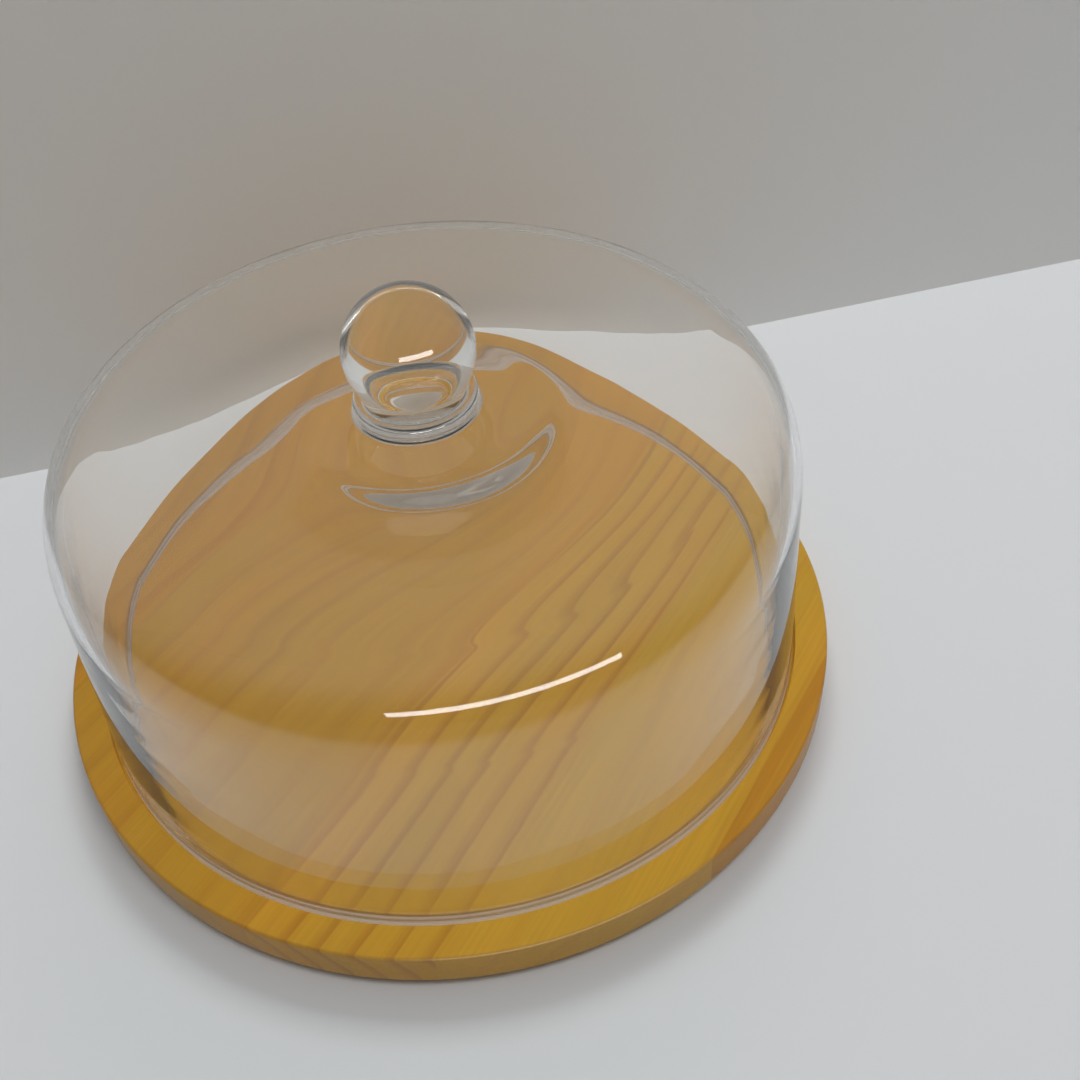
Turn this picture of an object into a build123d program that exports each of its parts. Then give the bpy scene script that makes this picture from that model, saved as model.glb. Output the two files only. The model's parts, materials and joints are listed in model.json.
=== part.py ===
from build123d import *
from math import cos, radians, sin
import os

os.makedirs("parts", exist_ok=True)

# Domed cake stand: a blown clear glass bell with a ball knob, standing in the
# ring groove of a round pine board that is glued up from six staves.
# Millimetres, +Z up. The origin is on the table, under the middle of the board.

# round board
board_radius = 140.0
board_thickness = 18.0
foot_bevel_width = 5.5      # the underside is cut back all round
foot_bevel_height = 5.4
edge_round = 1.2            # broken edge round the top
groove_outer_radius = 128.4
groove_inner_radius = 122.6
groove_depth = 5.0
groove_lip_bevel = 0.5

# staves: the glue lines run along grain_angle, at these distances from the middle
grain_angle = 50.0
stave_width = 58.3
first_glue_line = -101.7
stave_count = 6
cut_margin = 5.0            # the box that cuts out a stave stands this far past the board

# blown bell
bell_foot_radius = 127.6
bell_foot_wall = 4.0
bell_foot_round = 1.7
bell_shoulder_radius = 124.6
bell_wall = 2.8
shoulder_height = 93.0      # where the side turns in, above the table
shoulder_width = 21.0
shoulder_drop = 26.0
shoulder_fullness = 0.66    # length of the curve's handles; 0.55 would be an ellipse
crown_rise = 1.4            # the top is a little higher at the knob
boss_thickness = 9.6        # extra glass under the middle of the knob
boss_reach = 98.0           # how far out the thickening goes
boss_power = 2.5
boss_points = 8

# ball knob, drawn out of the same glass
ball_radius = 21.2
ball_centre_height = 140.9
taper_drop = 9.0            # the ball runs into the tapered neck this far below its middle
neck_radius = 16.4
collar_radius = 20.4
collar_height = 4.6
collar_edge = 0.6           # how far the collar is drawn in where it meets the bell

groove_floor = board_thickness - groove_depth
crown_edge_radius = bell_shoulder_radius - shoulder_width
crown_edge_height = shoulder_height + shoulder_drop
crown_top = crown_edge_height + crown_rise
side_taper = (bell_foot_radius - bell_shoulder_radius) / (shoulder_height - groove_floor)


def crown_wall(radius):
    """Thickness of the bell's top at this distance from the axis."""
    reach = max(1 - (radius / boss_reach) ** 2, 0)
    return bell_wall + boss_thickness * reach**boss_power


def crown_out_height(radius):
    """Height of the bell's outer face over its flat top."""
    slope = crown_rise / (crown_edge_radius - collar_radius)
    return crown_top - slope * max(radius - collar_radius, 0)


def shoulder_curve(inset):
    """Points of the smooth curve from the top to the side, this far inside the outer face."""
    handle = shoulder_fullness * (shoulder_drop - inset)
    return [
        (crown_edge_radius, crown_edge_height - inset),
        (crown_edge_radius + shoulder_fullness * (shoulder_width - inset), crown_edge_height - inset),
        (bell_shoulder_radius - inset - side_taper * handle, shoulder_height + handle),
        (bell_shoulder_radius - inset, shoulder_height),
    ]


def board_profile():
    """Half section of the whole board, before it is cut into staves."""
    with BuildSketch(Plane.XZ) as profile:
        with BuildLine():
            Polyline(
                (0, 0),
                (board_radius - foot_bevel_width, 0),
                (board_radius, foot_bevel_height),
                (board_radius, board_thickness),
                (groove_outer_radius, board_thickness),
                (groove_outer_radius, groove_floor),
                (groove_inner_radius, groove_floor),
                (groove_inner_radius, board_thickness),
                (0, board_thickness),
                close=True,
            )
        make_face()
        top_corner = profile.vertices().sort_by_distance((board_radius, board_thickness))[0]
        fillet(top_corner, edge_round)
        outer_lip = profile.vertices().sort_by_distance((groove_outer_radius, board_thickness))[0]
        chamfer(outer_lip, groove_lip_bevel)
        inner_lip = profile.vertices().sort_by_distance((groove_inner_radius, board_thickness))[0]
        chamfer(inner_lip, groove_lip_bevel)
    return profile.sketch


# board staves, numbered across the board from the far left
glue_lines = [first_glue_line + stave_width * number for number in range(stave_count - 1)]
stave_sides = [-board_radius] + glue_lines + [board_radius]
across_x = sin(radians(grain_angle))
across_y = -cos(radians(grain_angle))

for number in range(stave_count):
    near_side = stave_sides[number]
    far_side = stave_sides[number + 1]
    middle = (near_side + far_side) / 2
    stave_centre = (middle * across_x, middle * across_y, board_thickness / 2)
    with BuildPart() as stave:
        add(board_profile())
        revolve(axis=Axis.Z)
        with Locations(Location(stave_centre, (0, 0, grain_angle))):
            Box(
                2 * (board_radius + cut_margin),
                far_side - near_side,
                board_thickness + 2 * cut_margin,
                mode=Mode.INTERSECT,
            )
    stave.part.label = f"board_stave_{number + 1}"
    export_step(stave.part, f"parts/board_stave_{number + 1}.step")


boss_radii = [crown_edge_radius * (1 - step / boss_points) for step in range(1, boss_points + 1)]

# glass bell: an open-bottomed shell whose top thickens towards the knob
with BuildPart() as glass_dome:
    with BuildSketch(Plane.XZ) as bell_section:
        with BuildLine():
            Line((0, crown_top), (collar_radius, crown_top))
            Line((collar_radius, crown_top), (crown_edge_radius, crown_edge_height))
            shoulder_out = Bezier(*shoulder_curve(0))
            side_out = Line(shoulder_out @ 1, (bell_foot_radius, groove_floor))
            foot = Line(side_out @ 1, (bell_foot_radius - bell_foot_wall, groove_floor))
            shoulder_in = Bezier(*shoulder_curve(bell_wall))
            Line(foot @ 1, shoulder_in @ 1)
            crown_in = Spline(
                shoulder_in @ 0,
                *[(radius, crown_out_height(radius) - crown_wall(radius)) for radius in boss_radii],
            )
            Line(crown_in @ 1, (0, crown_top))
        make_face()
        foot_corners = bell_section.vertices().sort_by(Axis.Y)[:2]
        fillet(foot_corners, bell_foot_round)
    revolve(axis=Axis.Z)

glass_dome.part.label = "glass_dome"
export_step(glass_dome.part, "parts/glass_dome.step")


# glass knob: ball, tapered neck and the thick collar that is fused to the bell
with BuildPart() as glass_knob:
    taper_radius = (ball_radius**2 - taper_drop**2) ** 0.5
    taper_height = ball_centre_height - taper_drop
    collar_middle = crown_top + collar_height / 2
    collar_top = crown_top + collar_height
    with BuildSketch(Plane.XZ):
        with BuildLine():
            Line((0, crown_top), (collar_radius - collar_edge, crown_top))
            Line((collar_radius - collar_edge, crown_top), (collar_radius, collar_middle))
            ThreePointArc(
                (collar_radius, collar_middle),
                (collar_radius - collar_edge, collar_top - collar_edge),
                (neck_radius, collar_top - collar_edge / 2),
            )
            Line((neck_radius, collar_top - collar_edge / 2), (taper_radius, taper_height))
            ThreePointArc(
                (taper_radius, taper_height),
                (ball_radius, ball_centre_height),
                (0, ball_centre_height + ball_radius),
            )
            Line((0, ball_centre_height + ball_radius), (0, crown_top))
        make_face()
    revolve(axis=Axis.Z)

glass_knob.part.label = "glass_knob"
export_step(glass_knob.part, "parts/glass_knob.step")
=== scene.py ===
import json
from math import asin, cos, degrees, hypot, pi, radians, sin, tanh

import bmesh
import bpy
from mathutils import Matrix, Vector


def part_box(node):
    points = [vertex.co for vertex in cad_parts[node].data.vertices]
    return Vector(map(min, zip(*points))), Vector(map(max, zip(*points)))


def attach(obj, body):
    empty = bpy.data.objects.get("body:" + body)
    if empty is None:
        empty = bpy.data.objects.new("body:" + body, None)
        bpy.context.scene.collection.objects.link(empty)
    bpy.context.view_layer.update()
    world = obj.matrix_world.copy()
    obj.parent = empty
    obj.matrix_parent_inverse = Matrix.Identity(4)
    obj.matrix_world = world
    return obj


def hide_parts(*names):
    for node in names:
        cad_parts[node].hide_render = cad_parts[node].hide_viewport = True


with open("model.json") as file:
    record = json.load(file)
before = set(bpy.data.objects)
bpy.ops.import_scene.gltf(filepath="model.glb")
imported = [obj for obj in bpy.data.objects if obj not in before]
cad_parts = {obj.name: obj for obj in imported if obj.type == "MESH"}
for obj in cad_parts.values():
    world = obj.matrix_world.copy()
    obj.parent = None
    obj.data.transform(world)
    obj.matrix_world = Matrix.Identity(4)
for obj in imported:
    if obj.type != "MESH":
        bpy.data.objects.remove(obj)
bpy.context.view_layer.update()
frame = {"nodes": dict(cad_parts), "record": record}
mm = 0.001

staveNodes = sorted(name for name in frame["nodes"] if name.startswith("board_stave"))
staveBoxes = [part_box(name) for name in staveNodes]
boardLow = Vector([min(low[axis] for low, high in staveBoxes) for axis in range(3)])
boardHigh = Vector([max(high[axis] for low, high in staveBoxes) for axis in range(3)])
boardRadius = min(boardHigh.x - boardLow.x, boardHigh.y - boardLow.y) / 2
boardTop = boardHigh.z
bellLow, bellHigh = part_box("glass_dome")
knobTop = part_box("glass_knob")[1].z
footRadius = (bellHigh.x - bellLow.x) / 2


def arcPoints(centre, radius, start, end, steps):
    # points of an arc in the (radius, height) plane, angles in degrees
    turn = [radians(start + (end - start) * k / steps) for k in range(steps + 1)]
    return [(centre[0] + radius * cos(a), centre[1] + radius * sin(a)) for a in turn]


def linePoints(start, end, steps):
    return [
        (start[0] + (end[0] - start[0]) * k / steps, start[1] + (end[1] - start[1]) * k / steps)
        for k in range(steps + 1)
    ]


def joinOutline(*runs):
    # one outline out of several runs, with doubled points dropped
    outline = []
    for run in runs:
        for point in run:
            if not outline or hypot(point[0] - outline[-1][0], point[1] - outline[-1][1]) > 1e-6:
                outline.append(point)
    return outline


def turned(outline, segments, shift=None):
    # bmesh of the outline turned round Z; the first and last points are on the axis
    bm = bmesh.new()
    rings = []
    for r, z in outline:
        if r < 1e-7:
            rings.append([bm.verts.new((0, 0, z))])
            continue
        ring = []
        for k in range(segments):
            a = 2 * pi * k / segments
            point = Vector((r * cos(a), r * sin(a), z))
            if shift:
                point += shift(r, z, a)
            ring.append(bm.verts.new(point))
        rings.append(ring)
    for upper, lower in zip(rings, rings[1:]):
        for k in range(segments):
            n = (k + 1) % segments
            if len(upper) == 1:
                bm.faces.new((upper[0], lower[k], lower[n]))
            elif len(lower) == 1:
                bm.faces.new((upper[k], lower[0], upper[n]))
            else:
                bm.faces.new((upper[k], lower[k], lower[n], upper[n]))
    bmesh.ops.recalc_face_normals(bm, faces=bm.faces)
    return bm


def meshObject(name, bm, material):
    mesh = bpy.data.meshes.new(name)
    bm.to_mesh(mesh)
    bm.free()
    made = bpy.data.objects.new(name, mesh)
    bpy.context.scene.collection.objects.link(made)
    mesh.materials.append(material)
    return made


def addPiece(name, bm, material, slot, body, *nodes):
    piece = meshObject(name, bm, material)
    piece.data.shade_smooth()
    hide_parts(*nodes)
    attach(piece, body)
    return piece


def newMaterial(name):
    material = bpy.data.materials.new(name)
    material.use_nodes = True
    tree = material.node_tree
    return material, tree, tree.nodes["Principled BSDF"]


def newGroup(name, inputs, outputs):
    group = bpy.data.node_groups.new(name, "ShaderNodeTree")
    for label, kind, value in inputs:
        socket = group.interface.new_socket(name=label, in_out="INPUT", socket_type=kind)
        socket.default_value = value
    for label, kind in outputs:
        group.interface.new_socket(name=label, in_out="OUTPUT", socket_type=kind)
    return group, group.nodes.new("NodeGroupInput"), group.nodes.new("NodeGroupOutput")


def link(tree, source, target):
    tree.links.new(source, target)


def setOrLink(tree, socket, value):
    # a number or a colour is set, an output is linked
    if isinstance(value, (int, float, tuple)):
        socket.default_value = value
    else:
        tree.links.new(value, socket)


def maths(tree, operation, *values, clamp=False):
    node = tree.nodes.new("ShaderNodeMath")
    node.operation = operation
    node.use_clamp = clamp
    for socket, value in zip(node.inputs, values):
        setOrLink(tree, socket, value)
    return node.outputs[0]


def smoothStep(tree, value, low, high):
    node = tree.nodes.new("ShaderNodeMapRange")
    node.interpolation_type = "SMOOTHSTEP"
    link(tree, value, node.inputs["Value"])
    node.inputs["From Min"].default_value = low
    node.inputs["From Max"].default_value = high
    return node.outputs["Result"]


def blendColour(tree, factor, a, b, mode="MIX"):
    node = tree.nodes.new("ShaderNodeMix")
    node.data_type = "RGBA"
    node.blend_type = mode
    for socket, value in ((node.inputs[0], factor), (node.inputs[6], a), (node.inputs[7], b)):
        setOrLink(tree, socket, value)
    return node.outputs[2]


def mixShaders(tree, factor, first, second):
    node = tree.nodes.new("ShaderNodeMixShader")
    setOrLink(tree, node.inputs[0], factor)
    link(tree, first, node.inputs[1])
    link(tree, second, node.inputs[2])
    return node.outputs[0]


def separated(tree, vector):
    node = tree.nodes.new("ShaderNodeSeparateXYZ")
    link(tree, vector, node.inputs[0])
    return node.outputs


def noise(tree, vector, scale=1.0, detail=2.0, roughness=0.5):
    node = tree.nodes.new("ShaderNodeTexNoise")
    node.inputs["Scale"].default_value = scale
    node.inputs["Detail"].default_value = detail
    node.inputs["Roughness"].default_value = roughness
    link(tree, vector, node.inputs["Vector"])
    return node.outputs["Fac"]


def vectorMaths(tree, operation, a, b):
    node = tree.nodes.new("ShaderNodeVectorMath")
    node.operation = operation
    link(tree, a, node.inputs[0])
    setOrLink(tree, node.inputs[1], b)
    return node.outputs[0]


def addBump(tree, shader, height, strength, depth):
    node = tree.nodes.new("ShaderNodeBump")
    node.inputs["Strength"].default_value = strength
    node.inputs["Distance"].default_value = depth
    link(tree, height, node.inputs["Height"])
    link(tree, node.outputs["Normal"], shader.inputs["Normal"])


camera = {
    "place": (0.0, -0.3308, 0.3831),
    "pan": 6.278,          # degrees to the right of +Y
    "tilt": 45.108,        # degrees down
    "roll": -4.425,
    "lens": 43.35,
    "sensor": 36.0,
    "clip": (0.01, 50.0),
}


def addCamera():
    pan, tilt, roll = (radians(camera[key]) for key in ("pan", "tilt", "roll"))
    forward = Vector((sin(pan) * cos(tilt), cos(pan) * cos(tilt), -sin(tilt)))
    right = forward.cross(Vector((0, 0, 1))).normalized()
    up = right.cross(forward)
    side = cos(roll) * right + sin(roll) * up
    top = -sin(roll) * right + cos(roll) * up
    data = bpy.data.cameras.new("camera")
    data.lens = camera["lens"]
    data.sensor_width = camera["sensor"]
    data.clip_start, data.clip_end = camera["clip"]
    seen = bpy.data.objects.new("camera", data)
    turn = Matrix((side, top, -forward)).transposed()
    seen.matrix_world = Matrix.Translation(camera["place"]) @ turn.to_4x4()
    bpy.context.scene.collection.objects.link(seen)
    bpy.context.scene.camera = seen


addCamera()
print("camera placed")


glass = {
    "colour": (0.985, 0.992, 0.988, 1.0),
    "ior": 1.5,
    "shadow": (0.96, 0.97, 0.965, 1.0),    # light left after one face
    "film": 0.018,                         # thin haze that scatters a little light
    "filmColour": (0.86, 0.87, 0.88, 1.0),
    "footFrost": 0.85,                     # the foot is ground, so it looks pale
    "footColour": (0.50, 0.485, 0.45, 1.0),
    "footFrostTop": 19.0 * mm,
    "footFrostClear": 17.5 * mm,
    "wave": 0.05,                          # strength of the slow ripple that blowing leaves
    "waveDepth": 2.0 * mm,
    "waveScale": 26.0,
    "waveSquash": (1, 1, 2.2),
    "smear": 0.012,                        # most roughness that handling leaves
    "patchScale": 14.0,
    "patchFrom": 0.52,
    "patchTo": 0.75,
    "printScale": 160.0,
}


def smearGroup():
    group, given, result = newGroup(
        "handlingSmear",
        [("Vector", "NodeSocketVector", (0, 0, 0)), ("Smear", "NodeSocketFloat", 0.01)],
        [("Roughness", "NodeSocketFloat"), ("Ripple", "NodeSocketFloat")],
    )
    vector = given.outputs["Vector"]
    patches = noise(group, vector, glass["patchScale"], detail=3.0)
    patches = smoothStep(group, patches, glass["patchFrom"], glass["patchTo"])
    prints = noise(group, vector, glass["printScale"], detail=4.0, roughness=0.6)
    smeared = maths(group, "MULTIPLY", patches, prints)
    smeared = maths(group, "MULTIPLY", smeared, given.outputs["Smear"])
    link(group, smeared, result.inputs["Roughness"])
    squashed = vectorMaths(group, "MULTIPLY", vector, glass["waveSquash"])
    link(group, noise(group, squashed, glass["waveScale"], detail=1.0), result.inputs["Ripple"])
    return group


def clearShader(tree, colour):
    node = tree.nodes.new("ShaderNodeBsdfTransparent")
    node.inputs["Color"].default_value = colour
    return node.outputs[0]


def groundGlass(tree):
    # ground glass throws light back and lets it through
    both = tree.nodes.new("ShaderNodeAddShader")
    for socket, kind in zip(both.inputs, ("ShaderNodeBsdfDiffuse", "ShaderNodeBsdfTranslucent")):
        part = tree.nodes.new(kind)
        part.inputs["Color"].default_value = glass["footColour"]
        link(tree, part.outputs[0], socket)
    return both.outputs[0]


def glassMaterial():
    material, tree, shader = newMaterial("blownClearGlass")
    shader.inputs["Base Color"].default_value = glass["colour"]
    shader.inputs["IOR"].default_value = glass["ior"]
    shader.inputs["Transmission Weight"].default_value = 1.0
    where = tree.nodes.new("ShaderNodeTexCoord").outputs["Object"]
    smear = tree.nodes.new("ShaderNodeGroup")
    smear.node_tree = smearGroup()
    smear.inputs["Smear"].default_value = glass["smear"]
    link(tree, where, smear.inputs["Vector"])
    link(tree, smear.outputs["Roughness"], shader.inputs["Roughness"])
    addBump(tree, shader, smear.outputs["Ripple"], glass["wave"], glass["waveDepth"])

    film = tree.nodes.new("ShaderNodeBsdfDiffuse")
    film.inputs["Color"].default_value = glass["filmColour"]
    filmed = mixShaders(tree, glass["film"], shader.outputs[0], film.outputs[0])
    height = separated(tree, where)[2]
    aboveFoot = smoothStep(tree, height, glass["footFrostClear"], glass["footFrostTop"])
    frosted = maths(tree, "MULTIPLY", maths(tree, "SUBTRACT", 1.0, aboveFoot), glass["footFrost"])
    surface = mixShaders(tree, frosted, filmed, groundGlass(tree))

    # shadows and bounced light pass straight through the thin wall
    path = tree.nodes.new("ShaderNodeLightPath")
    through = maths(tree, "MAXIMUM", path.outputs["Is Shadow Ray"], path.outputs["Is Diffuse Ray"])
    final = mixShaders(tree, through, surface, clearShader(tree, glass["shadow"]))
    link(tree, final, tree.nodes["Material Output"].inputs["Surface"])
    return material


bell = {
    "wall": 2.8 * mm,
    "footWall": 4.0 * mm,
    "footRound": 1.7 * mm,
    "shoulderRadius": 124.6 * mm,
    "shoulderHeight": 93.0 * mm,
    "shoulderWidth": 21.0 * mm,
    "shoulderDrop": 26.0 * mm,
    "shoulderFullness": 0.66,      # length of the curve's handles
    "crownRise": 1.4 * mm,
    "bossThickness": 9.6 * mm,     # extra glass under the middle of the knob
    "bossReach": 98.0 * mm,
    "bossPower": 2.5,
    "ledgeThickness": 0.60 * mm,   # step where the knob's gather ends
    "ledgeRadius": 39.5 * mm,
    "ledgeWidth": 5.5 * mm,
    "ledgeTurn": -28.0,            # the side on which the step is deeper, wider and further out
    "ledgeDeeper": 1.0,
    "ledgeWider": 0.25,
    "ledgeFurther": 3.0 * mm,
}
knob = {
    "ball": 21.2 * mm,
    "taperDrop": 9.0 * mm,         # how far below its middle the ball runs into the neck
    "neck": 16.4 * mm,
    "neckFoot": 0.9,               # where the neck ends, from the collar's middle to its top
    "collar": 20.4 * mm,
    "collarHeight": 4.6 * mm,
    "collarUndercut": 0.4 * mm,    # drawn in where it meets the bell
}
blown = {                          # slow unevenness of hand-blown glass
    "sag": 0.05 * mm,
    "sagWave": 70.0,               # radians per metre of height
    "swirl": 0.04 * mm,
    "swirlWave": 95.0,             # radians per metre of radius
    "evenRadius": 25.0 * mm,       # even inside this, growing uneven over the next stretch
    "growing": 20.0 * mm,
    "evenFoot": 10.0 * mm,
    "evenKnob": 40.0 * mm,
}
fineness = {                       # how many steps each run of the glass outline has
    "round": 288,
    "ball": 60,
    "neck": 10,
    "collarTop": 8,
    "collarSide": 4,
    "crown": 40,
    "shoulder": 36,
    "side": 16,
    "foot": 14,
    "underCrown": 90,
}
crownEdge = bell["shoulderRadius"] - bell["shoulderWidth"]


def crownOut(r):
    t = min(max((r - knob["collar"]) / (crownEdge - knob["collar"]), 0), 1)
    return bellHigh.z - bell["crownRise"] * t * t * (3 - 2 * t)


def crownWall(r):
    boss = bell["bossThickness"] * max(1 - (r / bell["bossReach"]) ** 2, 0) ** bell["bossPower"]
    return bell["wall"] + boss


def ledgeStep(r, a):
    lean = cos(a - radians(bell["ledgeTurn"]))
    place = bell["ledgeRadius"] + bell["ledgeFurther"] * lean
    width = bell["ledgeWidth"] * (1 + bell["ledgeWider"] * lean)
    depth = bell["ledgeThickness"] * (1 + bell["ledgeDeeper"] * lean)
    return depth * (1 - tanh((r - place) / width)) / 2 * min(r / place, 1)


def shoulderCurve(inset):
    # smooth curve from the top to the side, this far inside the outer face
    full, side = bell["shoulderFullness"], bell["shoulderRadius"] - inset
    top = bellHigh.z - bell["crownRise"] - inset
    drop = full * (bell["shoulderDrop"] - inset)
    taper = (footRadius - bell["shoulderRadius"]) / (bell["shoulderHeight"] - bellLow.z)
    handles = [
        (crownEdge, top),
        (crownEdge + full * (bell["shoulderWidth"] - inset), top),
        (side - taper * drop, bell["shoulderHeight"] + drop),
        (side, bell["shoulderHeight"]),
    ]
    points = []
    for k in range(fineness["shoulder"] + 1):
        t = k / fineness["shoulder"]
        weights = ((1 - t) ** 3, 3 * t * (1 - t) ** 2, 3 * t * t * (1 - t), t**3)
        points.append(tuple(sum(w * p[axis] for w, p in zip(weights, handles)) for axis in (0, 1)))
    return points


def collarPoints(middle, half):
    # rounded over the top, then straight down and drawn in a little
    points = []
    for k in range(1, fineness["collarTop"] + 1):
        turn = pi / 2 * k / fineness["collarTop"]
        out = knob["neck"] + (knob["collar"] - knob["neck"]) * sin(turn) ** 0.5
        points.append((out, middle + half * cos(turn)))
    for k in range(1, fineness["collarSide"] + 1):
        part = k / fineness["collarSide"]
        points.append((knob["collar"] - knob["collarUndercut"] * part**2, middle - half * part))
    return points


def footPoints(start):
    # round underside of the wall, from its outer to its inner face
    half = bell["footWall"] / 2
    arc = arcPoints((footRadius - half, start), half, 0, -180, fineness["foot"])
    return [(r, start + (z - start) * bell["footRound"] / half) for r, z in arc]


def glassOutline():
    # from the top of the knob, down the outside, round the foot and up the inside
    taperTurn = degrees(asin(knob["taperDrop"] / knob["ball"]))
    ball = arcPoints((0, knobTop - knob["ball"]), knob["ball"], 90, -taperTurn, fineness["ball"])
    half = knob["collarHeight"] / 2
    middle = bellHigh.z + half
    neck = linePoints(ball[-1], (knob["neck"], middle + half * knob["neckFoot"]), fineness["neck"])
    collar = collarPoints(middle, half)
    start, steps = collar[-1][0], fineness["crown"]
    radii = [start + (crownEdge - start) * k / steps for k in range(1, steps + 1)]
    crown = [(r, crownOut(r)) for r in radii]
    shoulder = shoulderCurve(0)
    footStart = bellLow.z + bell["footRound"]
    side = linePoints(shoulder[-1], (footRadius, footStart), fineness["side"])
    foot = footPoints(footStart)
    inShoulder = shoulderCurve(bell["wall"])[::-1]
    inSide = linePoints(foot[-1], inShoulder[0], fineness["side"])
    steps = fineness["underCrown"]
    radii = [crownEdge * (1 - k / steps) for k in range(1, steps + 1)]
    inCrown = [(r, crownOut(r) - crownWall(r)) for r in radii]
    return joinOutline(ball, neck, collar, crown, shoulder, side, foot, inSide, inShoulder, inCrown)


def blownShift(r, z, a):
    # the unevenness, and the step under the crown
    if z > knobTop - blown["evenKnob"] or z < bellLow.z + blown["evenFoot"]:
        return Vector((0, 0, 0))
    sag = blown["sag"] * sin(2 * a + 0.7) * sin(blown["sagWave"] * z + 0.4)
    swirl = blown["swirl"] * sin(3 * a + 2.0) * cos(blown["swirlWave"] * r)
    fade = min(max((r - blown["evenRadius"]) / blown["growing"], 0), 1)
    underCrown = z < crownOut(r) - bell["wall"] / 2 and r < bell["bossReach"]
    step = ledgeStep(r, a) if underCrown else 0
    return Vector((0, 0, (sag + swirl) * fade - step))


addPiece(
    "blown_glass_bell", turned(glassOutline(), fineness["round"], blownShift), glassMaterial(),
    "clear_glass", "dome", "glass_dome", "glass_knob",
)
print("glass bell and knob turned")


board = {
    "grainAngle": 50.0,
    "firstGlueLine": -101.7 * mm,
    "staveWidth": 58.3 * mm,
    "footBevelWidth": 5.5 * mm,
    "footBevelHeight": 5.4 * mm,
    "edgeRound": 1.2 * mm,
    "edgeSteps": 6,
    "grooveOuter": 128.4 * mm,
    "grooveInner": 122.6 * mm,
    "grooveDepth": 5.0 * mm,
    "lipRound": 0.5 * mm,
    "lipSteps": 3,
    "glueEdge": 0.18 * mm,         # fine break along each glue line
    "glueEdgeSteps": 2,
    "glueEdgeFrom": 60.0,          # only edges sharper than this are broken, in degrees
    "sharpFrom": 35.0,
    "segments": 360,
}
lacquer = {
    "coat": 0.22,
    "coatRoughness": 0.18,
    "relief": 0.25,
    "reliefDepth": 0.3 * mm,
}
grain = {
    "driftStretch": (3.0, 9.0, 9.0),       # along the grain, and twice across it
    "drift": 0.018,                        # how far the rings wander, in metres
    "wobbleStretch": (14.0, 45.0, 45.0),
    "wobble": 0.0022,
    "lateFrom": 0.45,                      # share of a ring where the dark wood begins
    "lateFull": 0.93,
    "lateEnd": 0.955,
    "lateSharpness": 1.8,
    "fibreStretch": (22.0, 900.0, 900.0),
    "fibreShade": 0.34,
    "fibreDark": 0.83,
    "streakStretch": (6.0, 150.0, 150.0),
    "streak": 0.5,
    "toneStretch": (5.0, 16.0, 16.0),
    "toneFrom": 0.35,
    "toneTo": 0.7,
    "toneTint": (1.12, 1.02, 0.86, 1),
    "roughness": 0.36,
    "fibreRoughness": 0.12,
    "lateRoughness": -0.08,
    "ringRelief": 0.6,
    "fibreRelief": 0.5,
}
staveLooks = {                     # pith is where the tree's middle lay, across and below the face
    "board_stave_1": {
        "earlywood": (0.45, 0.212, 0.008), "latewood": (0.34, 0.130, 0.004),
        "pithAcross": -0.060, "pithHeight": -0.060, "ringSpacing": 0.0085, "ringStrength": 0.45, "seed": 1.7,
    },
    "board_stave_2": {
        "earlywood": (0.46, 0.228, 0.010), "latewood": (0.37, 0.150, 0.005),
        "pithAcross": -0.150, "pithHeight": -0.045, "ringSpacing": 0.0100, "ringStrength": 0.35, "seed": 3.1,
    },
    "board_stave_3": {
        "earlywood": (0.485, 0.243, 0.011), "latewood": (0.39, 0.160, 0.006),
        "pithAcross": -0.060, "pithHeight": -0.060, "ringSpacing": 0.0120, "ringStrength": 0.30, "seed": 5.9,
    },
    "board_stave_4": {
        "earlywood": (0.515, 0.270, 0.014), "latewood": (0.37, 0.150, 0.007),
        "pithAcross": -0.010, "pithHeight": -0.030, "ringSpacing": 0.0078, "ringStrength": 0.62, "seed": 7.3,
    },
    "board_stave_5": {
        "earlywood": (0.525, 0.285, 0.016), "latewood": (0.44, 0.200, 0.010),
        "pithAcross": 0.210, "pithHeight": -0.080, "ringSpacing": 0.0140, "ringStrength": 0.25, "seed": 9.2,
    },
    "board_stave_6": {
        "earlywood": (0.465, 0.217, 0.007), "latewood": (0.37, 0.140, 0.004),
        "pithAcross": 0.090, "pithHeight": -0.060, "ringSpacing": 0.0100, "ringStrength": 0.32, "seed": 11.4,
    },
}
grainSockets = {
    "Pith Across": "pithAcross",
    "Pith Height": "pithHeight",
    "Ring Spacing": "ringSpacing",
    "Ring Strength": "ringStrength",
    "Seed": "seed",
}


def centred(tree, value, spread):
    # a noise value swung about nought
    return maths(tree, "MULTIPLY", maths(tree, "SUBTRACT", value, 0.5), spread)


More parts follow.
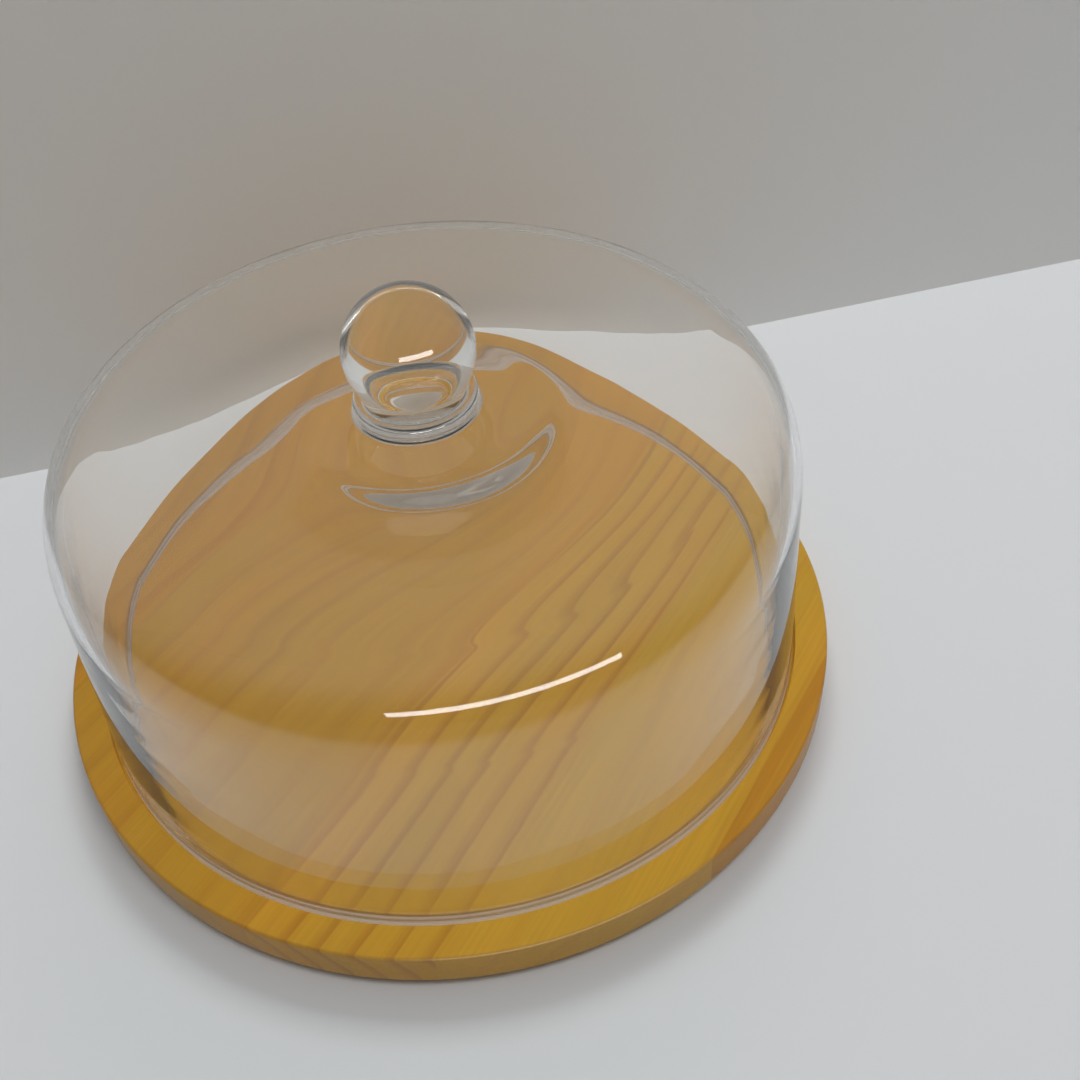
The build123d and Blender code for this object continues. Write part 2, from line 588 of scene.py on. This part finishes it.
def grainGroup():
    group, given, result = newGroup(
        "pineGrain",
        [
            ("Vector", "NodeSocketVector", (0, 0, 0)),
            ("Grain Angle", "NodeSocketFloat", radians(board["grainAngle"])),
            ("Earlywood", "NodeSocketColor", (0.6, 0.33, 0.05, 1)),
            ("Latewood", "NodeSocketColor", (0.36, 0.16, 0.02, 1)),
            ("Pith Across", "NodeSocketFloat", 0.0),
            ("Pith Height", "NodeSocketFloat", -0.05),
            ("Ring Spacing", "NodeSocketFloat", 0.01),
            ("Ring Strength", "NodeSocketFloat", 0.8),
            ("Seed", "NodeSocketFloat", 0.0),
        ],
        [("Colour", "NodeSocketColor"), ("Roughness", "NodeSocketFloat"), ("Height", "NodeSocketFloat")],
    )
    turn = group.nodes.new("ShaderNodeVectorRotate")
    turn.rotation_type = "Z_AXIS"
    link(group, given.outputs["Vector"], turn.inputs["Vector"])
    link(group, maths(group, "MULTIPLY", given.outputs["Grain Angle"], -1.0), turn.inputs["Angle"])
    local = turn.outputs["Vector"]             # X along the grain, -Y across
    seed = group.nodes.new("ShaderNodeCombineXYZ")
    for socket in seed.inputs:
        link(group, given.outputs["Seed"], socket)

    def drawnOut(stretch, detail=2.0, roughness=0.5):
        # noise drawn out along the grain, different in each stave
        placed = vectorMaths(group, "MULTIPLY", local, stretch)
        placed = vectorMaths(group, "ADD", placed, seed.outputs[0])
        return noise(group, placed, detail=detail, roughness=roughness)

    # growth rings round the pith
    parts = separated(group, local)
    across = maths(group, "MULTIPLY", maths(group, "ADD", parts[1], given.outputs["Pith Across"]), -1.0)
    height = maths(group, "SUBTRACT", parts[2], given.outputs["Pith Height"])
    squares = [maths(group, "MULTIPLY", side, side) for side in (across, height)]
    far = maths(group, "SQRT", maths(group, "ADD", *squares))
    far = maths(group, "ADD", far, centred(group, drawnOut(grain["driftStretch"]), grain["drift"]))
    far = maths(group, "ADD", far, centred(group, drawnOut(grain["wobbleStretch"]), grain["wobble"]))
    phase = maths(group, "FRACT", maths(group, "DIVIDE", far, given.outputs["Ring Spacing"]))
    rise = smoothStep(group, phase, grain["lateFrom"], grain["lateFull"])
    rise = maths(group, "POWER", rise, grain["lateSharpness"])
    fall = maths(group, "SUBTRACT", 1.0, smoothStep(group, phase, grain["lateEnd"], 1.0))
    ring = maths(group, "MULTIPLY", maths(group, "MULTIPLY", rise, fall), given.outputs["Ring Strength"])

    fibre = drawnOut(grain["fibreStretch"], 3.0, 0.6)
    streak = drawnOut(grain["streakStretch"], 3.0, 0.55)
    tone = smoothStep(group, drawnOut(grain["toneStretch"]), grain["toneFrom"], grain["toneTo"])

    mask = maths(group, "ADD", ring, centred(group, streak, grain["streak"]), clamp=True)
    colour = blendColour(group, mask, given.outputs["Earlywood"], given.outputs["Latewood"])
    warm = blendColour(group, tone, colour, grain["toneTint"], "MULTIPLY")
    shade = maths(group, "ADD", maths(group, "MULTIPLY", fibre, grain["fibreShade"]), grain["fibreDark"])
    grey = group.nodes.new("ShaderNodeCombineColor")
    for socket in grey.inputs:
        link(group, shade, socket)
    link(group, blendColour(group, 1.0, warm, grey.outputs[0], "MULTIPLY"), result.inputs["Colour"])

    rough = maths(group, "ADD", maths(group, "MULTIPLY", fibre, grain["fibreRoughness"]), grain["roughness"])
    rough = maths(group, "ADD", maths(group, "MULTIPLY", mask, grain["lateRoughness"]), rough)
    link(group, rough, result.inputs["Roughness"])
    ringRelief = maths(group, "MULTIPLY", ring, grain["ringRelief"])
    fibreRelief = maths(group, "MULTIPLY", fibre, grain["fibreRelief"])
    link(group, maths(group, "ADD", ringRelief, fibreRelief), result.inputs["Height"])
    return group


pineGrain = grainGroup()


def pineMaterial(name):
    looks = staveLooks[name]
    material, tree, shader = newMaterial("lacqueredPine" + name[-1])
    wood = tree.nodes.new("ShaderNodeGroup")
    wood.node_tree = pineGrain
    link(tree, tree.nodes.new("ShaderNodeTexCoord").outputs["Object"], wood.inputs["Vector"])
    wood.inputs["Earlywood"].default_value = (*looks["earlywood"], 1)
    wood.inputs["Latewood"].default_value = (*looks["latewood"], 1)
    for label, key in grainSockets.items():
        wood.inputs[label].default_value = looks[key]
    link(tree, wood.outputs["Colour"], shader.inputs["Base Color"])
    link(tree, wood.outputs["Roughness"], shader.inputs["Roughness"])
    addBump(tree, shader, wood.outputs["Height"], lacquer["relief"], lacquer["reliefDepth"])
    shader.inputs["Coat Weight"].default_value = lacquer["coat"]
    shader.inputs["Coat Roughness"].default_value = lacquer["coatRoughness"]
    return material


def boardOutline():
    floorHeight = boardTop - board["grooveDepth"]
    edge, lip, steps = board["edgeRound"], board["lipRound"], board["lipSteps"]
    low = boardLow.z
    return joinOutline(
        [(0, low)],
        [(boardRadius - board["footBevelWidth"], low)],
        [(boardRadius, low + board["footBevelHeight"])],
        arcPoints((boardRadius - edge, boardTop - edge), edge, 0, 90, board["edgeSteps"]),
        arcPoints((board["grooveOuter"] + lip, boardTop - lip), lip, 90, 180, steps),
        [(board["grooveOuter"], floorHeight), (board["grooveInner"], floorHeight)],
        arcPoints((board["grooveInner"] - lip, boardTop - lip), lip, 0, 90, steps),
        [(0, boardTop)],
    )


def cutStave(near, far):
    # the whole board, cut off at this stave's glue lines
    bm = turned(boardOutline(), board["segments"])
    turn = radians(board["grainAngle"])
    across = Vector((sin(turn), -cos(turn), 0))
    for place, normal in ((near, -across), (far, across)):
        if place is None:
            continue
        geometry = bm.verts[:] + bm.edges[:] + bm.faces[:]
        cut = bmesh.ops.bisect_plane(
            bm, geom=geometry, dist=1e-7, plane_co=across * place, plane_no=normal, clear_outer=True
        )
        edges = [item for item in cut["geom_cut"] if isinstance(item, bmesh.types.BMEdge)]
        bmesh.ops.contextual_create(bm, geom=edges)
    bmesh.ops.recalc_face_normals(bm, faces=bm.faces)
    return bm


def addStave(name, near, far):
    slot = next(part["material_slot"] for part in frame["record"]["subparts"] if part["node"] == name)
    piece = addPiece("pine_stave_" + name[-1], cutStave(near, far), pineMaterial(name), slot, "board", name)
    piece.data.set_sharp_from_angle(angle=radians(board["sharpFrom"]))
    bevel = piece.modifiers.new("glue edge", "BEVEL")
    bevel.width = board["glueEdge"]
    bevel.segments = board["glueEdgeSteps"]
    bevel.limit_method = "ANGLE"
    bevel.angle_limit = radians(board["glueEdgeFrom"])


glueLines = [board["firstGlueLine"] + board["staveWidth"] * k for k in range(len(staveNodes) - 1)]
staveSides = [None, *glueLines, None]
for name, near, far in zip(staveNodes, staveSides, staveSides[1:]):
    addStave(name, near, far)
print("board glued up from", len(staveNodes), "staves")


studio = {
    "floor": (0.70, 0.715, 0.73, 1),
    "floorHalf": 4.0,
    "floorRoughness": 0.55,
    "floorGloss": 0.1,
    # colour of the painted reflection of a dark room, put on the floor in glossy rays
    "paintedDarkRoom": (0.06, 0.055, 0.05, 1),
    "paintedRoomFrom": 0.26,              # in glossy rays only, the floor fades to painted dark between these two, in front of the stand: a painted reflection of a dark room
    "paintedRoomFull": 0.42,                # two, in front of the stand, and the room beyond is dark
    "backdrop": (0.80, 0.79, 0.765, 1),
    "backdropPlace": (0.077, 0.164),
    "backdropTurn": 5.1,
    "backdropHalf": 3.0,
    "backdropHeight": 0.9,
    "backdropRoughness": 0.8,
    "sky": (0.95, 0.97, 1.0, 1),
    "horizon": (0.09, 0.085, 0.08, 1),
    "skyLean": (0.12, 0.68, 0.72),   # the sky is brightest above and behind the stand
    "skyFrom": -0.5,
    "skyTo": 0.85,
    "skyStrength": 0.41,
}
lamps = {
    "strip": {
        "place": (0.45, -2.2, 1.08), "aim": (0, 0, 0.1), "size": (2.7, 0.36),
        "power": 44, "lights": False,      # seen only as the long highlight on the shoulder
    },
    "window": {
        "place": (0.35, 1.25, 1.7), "aim": (0, 0, 0), "size": (1.0, 0.8),
        "power": 18, "lights": True,       # lights the scene, but is not mirrored
    },
    "ceiling": {
        "place": (0.3, -0.7, 2.0), "aim": (0, 0.2, 0.4), "size": (0.9, 0.5),
        "power": 13, "lights": True,
    },
}


def addFloor():
    material, tree, shader = newMaterial("paleFloor")
    shader.inputs["Roughness"].default_value = studio["floorRoughness"]
    shader.inputs["Specular IOR Level"].default_value = studio["floorGloss"]
    place = separated(tree, tree.nodes.new("ShaderNodeNewGeometry").outputs["Position"])
    # painted reflection: seen in glossy rays, the floor in front of the stand is painted the dark room
    # colour
    path = tree.nodes.new("ShaderNodeLightPath")
    forward = maths(tree, "MULTIPLY", place[1], -1.0)
    paintedRoomFade = smoothStep(tree, forward, studio["paintedRoomFrom"], studio["paintedRoomFull"])
    paintedReflectionMask = maths(tree, "MULTIPLY", path.outputs["Is Glossy Ray"], paintedRoomFade)
    link(tree, blendColour(tree, paintedReflectionMask, studio["floor"], studio["paintedDarkRoom"]), shader.inputs["Base Color"])
    bm = bmesh.new()
    bmesh.ops.create_grid(bm, x_segments=8, y_segments=8, size=studio["floorHalf"])
    floor = meshObject("floor", bm, material)
    floor.location.z = boardLow.z


def addBackdrop():
    # one pale plane, clear when seen from behind
    material, tree, shader = newMaterial("greyBackdrop")
    shader.inputs["Base Color"].default_value = studio["backdrop"]
    shader.inputs["Roughness"].default_value = studio["backdropRoughness"]
    shader.inputs["Specular IOR Level"].default_value = 0.0
    face = tree.nodes.new("ShaderNodeNewGeometry")
    mixed = mixShaders(tree, face.outputs["Backfacing"], shader.outputs[0], clearShader(tree, (1, 1, 1, 1)))
    link(tree, mixed, tree.nodes["Material Output"].inputs["Surface"])
    half, height = studio["backdropHalf"], studio["backdropHeight"]
    bm = bmesh.new()
    corners = [(-half, 0, 0), (half, 0, 0), (half, 0, height), (-half, 0, height)]
    bm.faces.new([bm.verts.new(corner) for corner in corners])
    backdrop = meshObject("backdrop", bm, material)
    backdrop.location = (*studio["backdropPlace"], boardLow.z)
    backdrop.rotation_euler.z = radians(studio["backdropTurn"])
    backdrop.visible_shadow = False


def addSky():
    world = bpy.data.worlds.new("sky")
    bpy.context.scene.world = world
    world.use_nodes = True
    tree = world.node_tree
    back = tree.nodes["Background"]
    lean = tree.nodes.new("ShaderNodeVectorMath")
    lean.operation = "DOT_PRODUCT"
    link(tree, tree.nodes.new("ShaderNodeTexCoord").outputs["Generated"], lean.inputs[0])
    lean.inputs[1].default_value = Vector(studio["skyLean"]).normalized()
    bright = smoothStep(tree, lean.outputs["Value"], studio["skyFrom"], studio["skyTo"])
    link(tree, blendColour(tree, bright, studio["horizon"], studio["sky"]), back.inputs["Color"])
    back.inputs["Strength"].default_value = studio["skyStrength"]


def addLamp(name, facts):
    data = bpy.data.lights.new(name, "AREA")
    data.shape = "RECTANGLE"
    data.size, data.size_y = facts["size"]
    data.energy = facts["power"]
    lamp = bpy.data.objects.new(name, data)
    lamp.location = facts["place"]
    away = Vector(facts["aim"]) - Vector(facts["place"])
    lamp.rotation_mode = "QUATERNION"
    lamp.rotation_quaternion = away.to_track_quat("-Z", "Y")
    lamp.visible_diffuse = facts["lights"]
    lamp.visible_glossy = not facts["lights"]
    lamp.visible_transmission = False
    bpy.context.scene.collection.objects.link(lamp)


addFloor()
addBackdrop()
addSky()
for name, facts in lamps.items():
    addLamp(name, facts)
bpy.context.scene.view_settings.view_transform = "Standard"
print("floor, backdrop and lights set")
